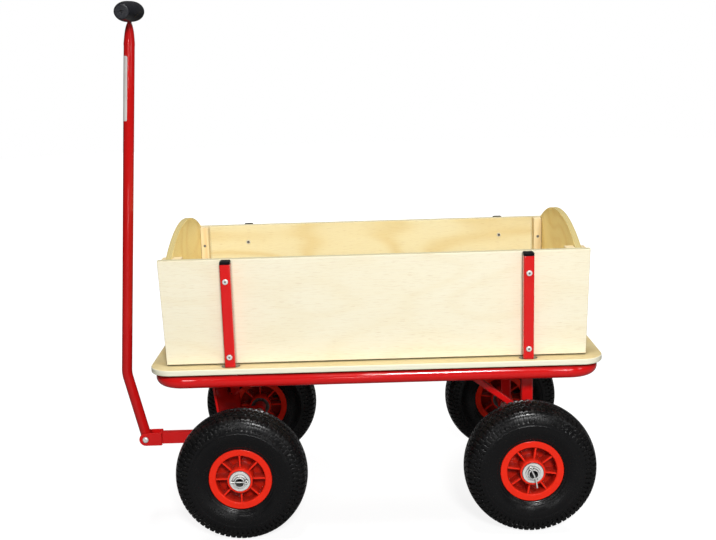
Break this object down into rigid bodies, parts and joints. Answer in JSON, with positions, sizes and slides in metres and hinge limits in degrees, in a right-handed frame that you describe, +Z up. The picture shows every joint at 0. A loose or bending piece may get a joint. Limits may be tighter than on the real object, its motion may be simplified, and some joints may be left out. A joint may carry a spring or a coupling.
{
  "type": "wooden pull wagon",
  "caption": "Pull wagon with a plywood box on a steel tube frame, lift-out sides and arched end boards, air-filled wheels and a turntable steered by a tall T-handle pole.",
  "frame": {"origin": "on the floor, below the middle of the whole wagon's length and width", "axes": "+Z up, -X to the front where the handle is, -Y to the left side"},
  "size_m": [0.9849, 0.526, 1.0514],
  "materials": {
    "birch_ply": "clear varnished birch plywood",
    "pine": "clear varnished pine",
    "red_paint": "gloss red powder coat",
    "zinc": "bright zinc plated",
    "rim_plastic": "gloss orange-red moulding",
    "tyre_rubber": "matte black rubber",
    "tube_rubber": "black butyl",
    "bearing_steel": "ground steel",
    "black_plastic": "satin black moulding",
    "nylon": "natural nylon"
  },
  "bodies": {
    "chassis": {"deck_board": "birch_ply", "frame_ring": "red_paint", "front_cross_rails": "red_paint", "rear_cross_rails": "red_paint", "turntable_plate": "red_paint", "turntable_disc": "nylon", "kingpin": "red_paint", "rear_leg_left": "red_paint", "rear_leg_right": "red_paint", "rear_braces": "red_paint", "rear_axle": "zinc", "rear_axle_washers": "zinc", "rear_split_pins": "zinc", "stake_spigots": "red_paint", "deck_screws": "zinc"},
    "steering": {"steering_plate": "red_paint", "kingpin_sleeve": "red_paint", "fork_front_plate": "red_paint", "fork_leg_left": "red_paint", "fork_leg_right": "red_paint", "front_axle": "zinc", "front_axle_washers": "zinc", "front_split_pins": "zinc", "drawbar": "red_paint", "drawbar_clevis": "red_paint", "pivot_bolt": "zinc"},
    "handle": {"handle_pole": "red_paint", "handle_grip": "black_plastic"},
    "wheel_front_left": {"wheel_front_left_tyre": "tyre_rubber", "wheel_front_left_inner_tube": "tube_rubber", "wheel_front_left_rim": "rim_plastic", "wheel_front_left_bearings": "bearing_steel"},
    "wheel_front_right": {"wheel_front_right_tyre": "tyre_rubber", "wheel_front_right_inner_tube": "tube_rubber", "wheel_front_right_rim": "rim_plastic", "wheel_front_right_bearings": "bearing_steel"},
    "wheel_rear_left": {"wheel_rear_left_tyre": "tyre_rubber", "wheel_rear_left_inner_tube": "tube_rubber", "wheel_rear_left_rim": "rim_plastic", "wheel_rear_left_bearings": "bearing_steel"},
    "wheel_rear_right": {"wheel_rear_right_tyre": "tyre_rubber", "wheel_rear_right_inner_tube": "tube_rubber", "wheel_rear_right_rim": "rim_plastic", "wheel_rear_right_bearings": "bearing_steel"},
    "side_left": {"side_left_panel": "birch_ply", "side_left_stakes": "red_paint", "side_left_stake_caps": "black_plastic", "side_left_stake_bolts": "zinc", "side_left_battens": "pine", "side_left_batten_screws": "zinc"},
    "side_right": {"side_right_panel": "birch_ply", "side_right_stakes": "red_paint", "side_right_stake_caps": "black_plastic", "side_right_stake_bolts": "zinc", "side_right_battens": "pine", "side_right_batten_screws": "zinc"},
    "front_board": {"front_board": "birch_ply"},
    "rear_board": {"rear_board": "birch_ply"}
  },
  "joints": [
    {"name": "steering_turn", "type": "hinge", "parent": "chassis", "child": "steering", "pos_m": [-0.25352, 0, 0.3018], "axis": [0, 0, 1], "range_deg": [-35, 35]},
    {"name": "handle_tilt", "type": "hinge", "parent": "steering", "child": "handle", "pos_m": [-0.44952, 0, 0.1275], "axis": [0, -1, 0], "range_deg": [0, 97]},
    {"name": "wheel_front_left_spin", "type": "hinge", "parent": "steering", "child": "wheel_front_left", "pos_m": [-0.21752, -0.214, 0.13], "axis": [0, 1, 0], "continuous": true},
    {"name": "wheel_front_right_spin", "type": "hinge", "parent": "steering", "child": "wheel_front_right", "pos_m": [-0.21752, 0.214, 0.13], "axis": [0, 1, 0], "continuous": true},
    {"name": "wheel_rear_left_spin", "type": "hinge", "parent": "chassis", "child": "wheel_rear_left", "pos_m": [0.35048, -0.214, 0.13], "axis": [0, 1, 0], "continuous": true},
    {"name": "wheel_rear_right_spin", "type": "hinge", "parent": "chassis", "child": "wheel_rear_right", "pos_m": [0.35048, 0.214, 0.13], "axis": [0, 1, 0], "continuous": true},
    {"name": "side_left_lift", "type": "slide", "parent": "chassis", "child": "side_left", "axis": [0, 0, 1], "range_m": [0, 0.08]},
    {"name": "side_right_lift", "type": "slide", "parent": "chassis", "child": "side_right", "axis": [0, 0, 1], "range_m": [0, 0.08]},
    {"name": "front_board_lift", "type": "slide", "parent": "chassis", "child": "front_board", "axis": [0, 0, 1], "range_m": [0, 0.23]},
    {"name": "rear_board_lift", "type": "slide", "parent": "chassis", "child": "rear_board", "axis": [0, 0, 1], "range_m": [0, 0.23]}
  ]
}
